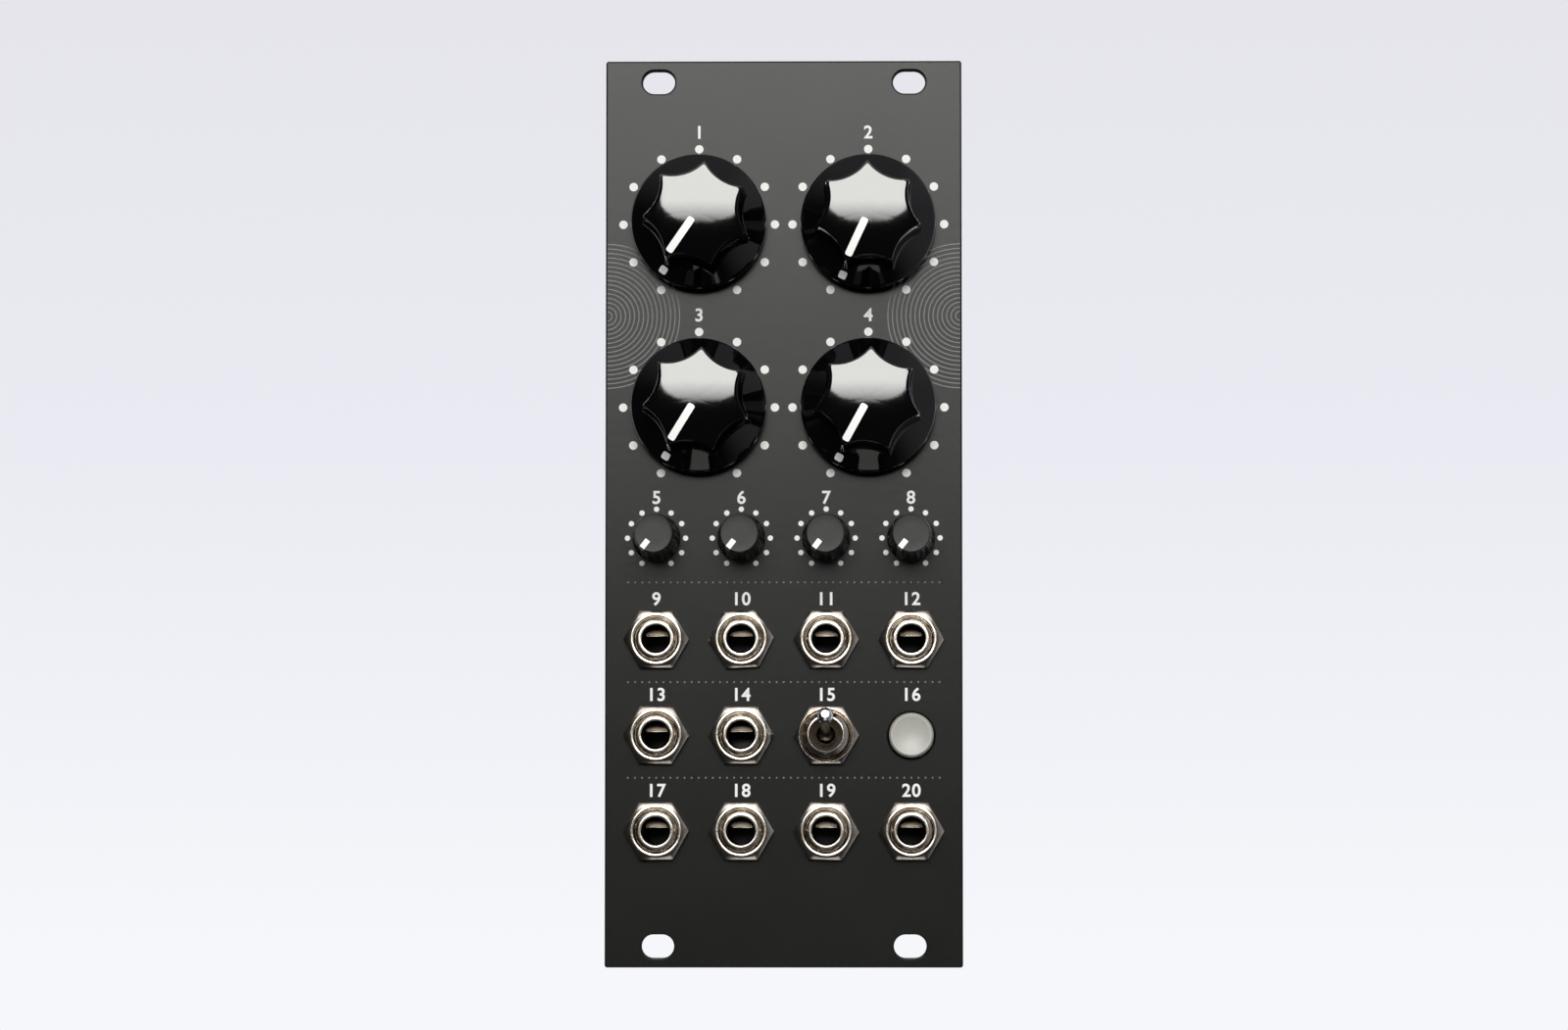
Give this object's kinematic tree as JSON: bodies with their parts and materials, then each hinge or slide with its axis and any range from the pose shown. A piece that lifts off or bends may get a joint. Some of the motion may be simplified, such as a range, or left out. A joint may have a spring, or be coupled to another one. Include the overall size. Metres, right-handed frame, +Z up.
{
  "type": "synthesizer rack module",
  "caption": "Narrow black rack panel with large and small knobs, jack sockets, a toggle switch and a push button, on two circuit boards with a power connector behind.",
  "frame": {"origin": "on the back face of the panel, midway between the two lower mounting slots", "axes": "+Z up along the panel, +X to the right seen from the front, +Y back into the rack"},
  "size_m": [0.0506, 0.0517, 0.1285],
  "materials": {
    "panel": "satin black powder coat on aluminium",
    "knob": "polished black moulding",
    "small_knob": "matt dark grey moulding",
    "nickel": "bright nickel plate",
    "shaft": "turned",
    "pot": "moulded",
    "jack": "moulded, with a nickel plated barrel",
    "toggle": "moulded, with a nickel plated bushing",
    "lever": "polished",
    "button": "satin, pale grey",
    "switch": "moulded",
    "board": "black solder mask",
    "connector": "moulded",
    "nylon": "moulded nylon"
  },
  "bodies": {
    "module": {"front_panel": "panel", "pot_nut_1": "nickel", "pot_nut_2": "nickel", "pot_nut_3": "nickel", "pot_nut_4": "nickel", "pot_body_1": "pot", "pot_body_2": "pot", "pot_body_3": "pot", "pot_body_4": "pot", "small_pot_1": "pot", "small_pot_2": "pot", "small_pot_3": "pot", "small_pot_4": "pot", "jack_1": "jack", "jack_2": "jack", "jack_3": "jack", "jack_4": "jack", "jack_5": "jack", "jack_6": "jack", "jack_7": "jack", "jack_8": "jack", "jack_9": "jack", "jack_10": "jack", "jack_nut_1": "nickel", "jack_nut_2": "nickel", "jack_nut_3": "nickel", "jack_nut_4": "nickel", "jack_nut_5": "nickel", "jack_nut_6": "nickel", "jack_nut_7": "nickel", "jack_nut_8": "nickel", "jack_nut_9": "nickel", "jack_nut_10": "nickel", "toggle_body": "toggle", "toggle_nut": "nickel", "button_switch": "switch", "control_board": "board", "main_board": "board", "link_socket_left": "connector", "link_socket_right": "connector", "link_header_left": "connector", "link_header_right": "connector", "spacer_upper": "nylon", "spacer_lower": "nylon", "power_header": "connector"},
    "large_knob_1": {"large_knob_1": "knob", "pot_shaft_1": "shaft"},
    "large_knob_2": {"large_knob_2": "knob", "pot_shaft_2": "shaft"},
    "large_knob_3": {"large_knob_3": "knob", "pot_shaft_3": "shaft"},
    "large_knob_4": {"large_knob_4": "knob", "pot_shaft_4": "shaft"},
    "small_knob_1": {"small_knob_1": "small_knob"},
    "small_knob_2": {"small_knob_2": "small_knob"},
    "small_knob_3": {"small_knob_3": "small_knob"},
    "small_knob_4": {"small_knob_4": "small_knob"},
    "toggle_lever": {"toggle_lever": "lever"},
    "button_cap": {"button_cap": "button"}
  },
  "joints": [
    {"name": "large_knob_1_turn", "type": "hinge", "parent": "module", "child": "large_knob_1", "pos_m": [-0.012, -0.01, 0.10215], "axis": [0, 1, 0], "range_deg": [0, 300]},
    {"name": "large_knob_2_turn", "type": "hinge", "parent": "module", "child": "large_knob_2", "pos_m": [0.012, -0.01, 0.10215], "axis": [0, 1, 0], "range_deg": [0, 300]},
    {"name": "large_knob_3_turn", "type": "hinge", "parent": "module", "child": "large_knob_3", "pos_m": [-0.012, -0.01, 0.0761], "axis": [0, 1, 0], "range_deg": [0, 300]},
    {"name": "large_knob_4_turn", "type": "hinge", "parent": "module", "child": "large_knob_4", "pos_m": [0.012, -0.01, 0.0761], "axis": [0, 1, 0], "range_deg": [0, 300]},
    {"name": "small_knob_1_turn", "type": "hinge", "parent": "module", "child": "small_knob_1", "pos_m": [-0.018, -0.008, 0.05757], "axis": [0, 1, 0], "range_deg": [0, 280]},
    {"name": "small_knob_2_turn", "type": "hinge", "parent": "module", "child": "small_knob_2", "pos_m": [-0.006, -0.008, 0.05757], "axis": [0, 1, 0], "range_deg": [0, 280]},
    {"name": "small_knob_3_turn", "type": "hinge", "parent": "module", "child": "small_knob_3", "pos_m": [0.006, -0.008, 0.05757], "axis": [0, 1, 0], "range_deg": [0, 280]},
    {"name": "small_knob_4_turn", "type": "hinge", "parent": "module", "child": "small_knob_4", "pos_m": [0.018, -0.008, 0.05757], "axis": [0, 1, 0], "range_deg": [0, 280]},
    {"name": "toggle_tip", "type": "hinge", "parent": "module", "child": "toggle_lever", "pos_m": [0.006, -0.0069, 0.02968], "axis": [1, 0, 0], "range_deg": [0, 26]},
    {"name": "button_press", "type": "slide", "parent": "module", "child": "button_cap", "axis": [0, 1, 0], "range_m": [0, 0.0008], "stiffness_N_per_m": 1200}
  ]
}
